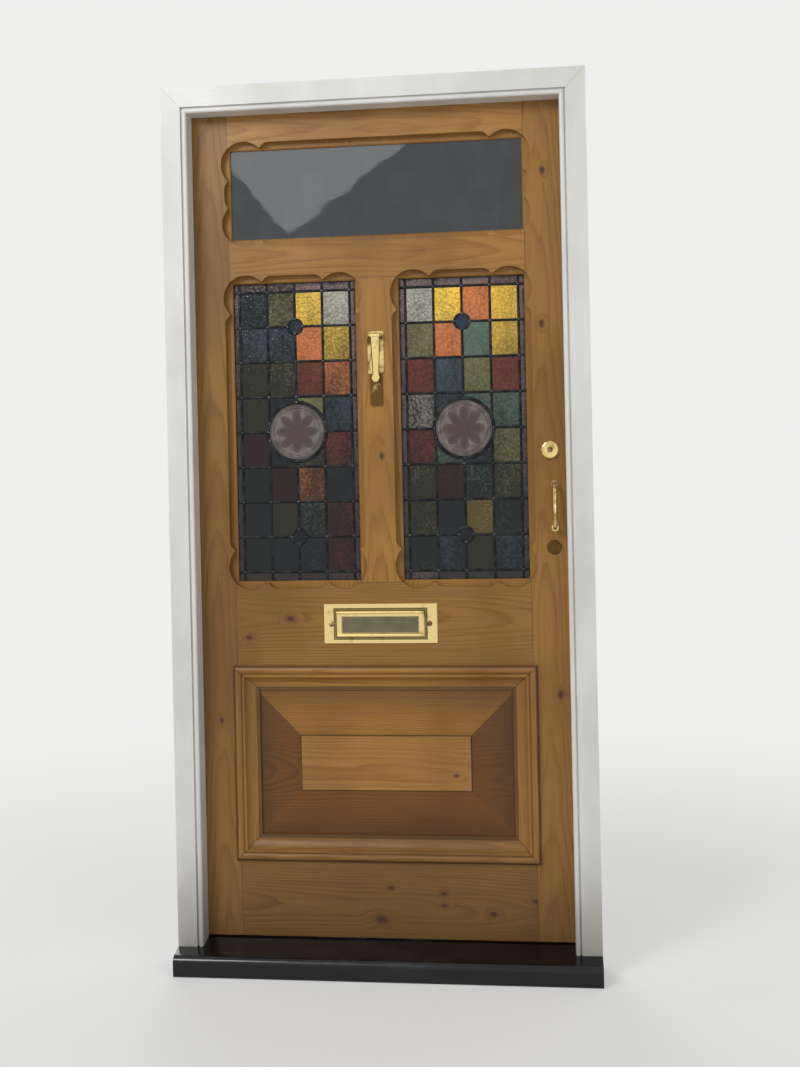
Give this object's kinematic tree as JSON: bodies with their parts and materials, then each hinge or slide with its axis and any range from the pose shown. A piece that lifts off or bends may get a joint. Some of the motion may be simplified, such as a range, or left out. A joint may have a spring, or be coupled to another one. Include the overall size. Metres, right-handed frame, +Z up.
{
  "type": "panelled front door",
  "caption": "Panelled pine front door in its own frame: shaped leaded lights over a fielded panel, on a weathered sill, with latch, deadlock, letter plate and knocker.",
  "frame": {"origin": "middle of the underside of the sill, in line with the street face of the leaf", "axes": "+X to the right seen from the street, +Y into the house, +Z up"},
  "size_m": [1.014, 0.1925, 2.126],
  "materials": {
    "white_paint": "semi-gloss paint on softwood",
    "black_gloss_paint": "gloss paint on hardwood",
    "waxed_pine": "waxed",
    "clear_glass": "clear",
    "lead": "dull",
    "glass_border": "textured",
    "glass_clear": "textured",
    "glass_amber": "textured",
    "glass_orange": "textured",
    "glass_ruby": "textured",
    "glass_olive": "textured",
    "glass_green": "textured",
    "glass_blue": "textured",
    "glass_rose": "painted",
    "glass_navy": "smooth",
    "polished_brass": "polished",
    "tarnished_brass": "tarnished",
    "steel": "bright zinc",
    "lacquered_steel": "satin"
  },
  "bodies": {
    "frame": {"hinge_post": "white_paint", "lock_post": "white_paint", "frame_head": "white_paint", "door_stops": "white_paint", "threshold": "black_gloss_paint", "hinge_frame_leaves": "steel", "hinge_pins": "steel", "frame_screws": "steel", "latch_staple": "lacquered_steel", "deadlock_keep": "steel"},
    "leaf": {"hinge_stile": "waxed_pine", "lock_stile": "waxed_pine", "top_rail": "waxed_pine", "frieze_rail": "waxed_pine", "muntin": "waxed_pine", "lock_rail": "waxed_pine", "bottom_rail": "waxed_pine", "bottom_panel": "waxed_pine", "panel_moulding_top": "waxed_pine", "panel_moulding_bottom": "waxed_pine", "panel_moulding_left": "waxed_pine", "panel_moulding_right": "waxed_pine", "inner_panel_mouldings": "waxed_pine", "outer_beads": "waxed_pine", "inner_beads": "waxed_pine", "top_light_pane": "clear_glass", "light_cames": "lead", "quarries_border": "glass_border", "quarries_clear": "glass_clear", "quarries_amber": "glass_amber", "quarries_orange": "glass_orange", "quarries_ruby": "glass_ruby", "quarries_olive": "glass_olive", "quarries_green": "glass_green", "quarries_blue": "glass_blue", "large_roundels": "glass_rose", "small_roundels": "glass_navy", "letter_plate": "polished_brass", "letter_back_plate": "polished_brass", "letter_bolts": "tarnished_brass", "knocker_plate": "polished_brass", "knocker_pin": "polished_brass", "knocker_striker": "tarnished_brass", "cylinder_ring": "polished_brass", "cylinder_body": "polished_brass", "deadlock_escutcheon": "tarnished_brass", "inner_escutcheon": "polished_brass", "pull_handle": "polished_brass", "hinge_door_leaves": "steel", "door_screws": "steel", "latch_case": "lacquered_steel", "deadlock_case": "steel"},
    "letter_flap": {"letter_flap": "polished_brass"},
    "hammer": {"knocker_hammer": "polished_brass"},
    "plug": {"cylinder_plug": "polished_brass"},
    "latch_bolt": {"latch_bolt": "polished_brass"},
    "latch_knob": {"latch_knob": "polished_brass"},
    "latch_snib": {"latch_snib": "polished_brass"},
    "deadbolt": {"deadbolt": "polished_brass"},
    "drop_cover": {"escutcheon_cover": "tarnished_brass"}
  },
  "joints": [
    {"name": "leaf_swing", "type": "hinge", "parent": "frame", "child": "leaf", "pos_m": [-0.4585, 0.052, 1], "axis": [0, 0, 1], "range_deg": [0, 100]},
    {"name": "letter_flap_lift", "type": "hinge", "parent": "leaf", "child": "letter_flap", "pos_m": [-0.005, -0.007, 0.855], "axis": [-1, 0, 0], "range_deg": [0, 80]},
    {"name": "hammer_lift", "type": "hinge", "parent": "leaf", "child": "hammer", "pos_m": [-0.003, -0.012, 1.519], "axis": [-1, 0, 0], "range_deg": [0, 70]},
    {"name": "plug_turn", "type": "hinge", "parent": "leaf", "child": "plug", "pos_m": [0.4085, 0, 1.237], "axis": [0, 1, 0], "range_deg": [0, 90]},
    {"name": "latch_knob_turn", "type": "hinge", "parent": "leaf", "child": "latch_knob", "pos_m": [0.4085, 0, 1.237], "axis": [0, 1, 0], "range_deg": [0, 60]},
    {"name": "latch_bolt_slide", "type": "slide", "parent": "leaf", "child": "latch_bolt", "axis": [1, 0, 0], "range_m": [0, 0.014]},
    {"name": "snib_slide", "type": "slide", "parent": "leaf", "child": "latch_snib", "axis": [1, 0, 0], "range_m": [0, 0.008]},
    {"name": "deadbolt_slide", "type": "slide", "parent": "leaf", "child": "deadbolt", "axis": [1, 0, 0], "range_m": [0, 0.014]},
    {"name": "drop_cover_swing", "type": "hinge", "parent": "leaf", "child": "drop_cover", "pos_m": [0.414, -0.003, 1.0155], "axis": [0, 1, 0], "range_deg": [-100, 100]}
  ],
  "couplings": [
    {"joint": "latch_bolt_slide", "follows": "latch_knob_turn", "m_per_rad": 0.013274}
  ]
}
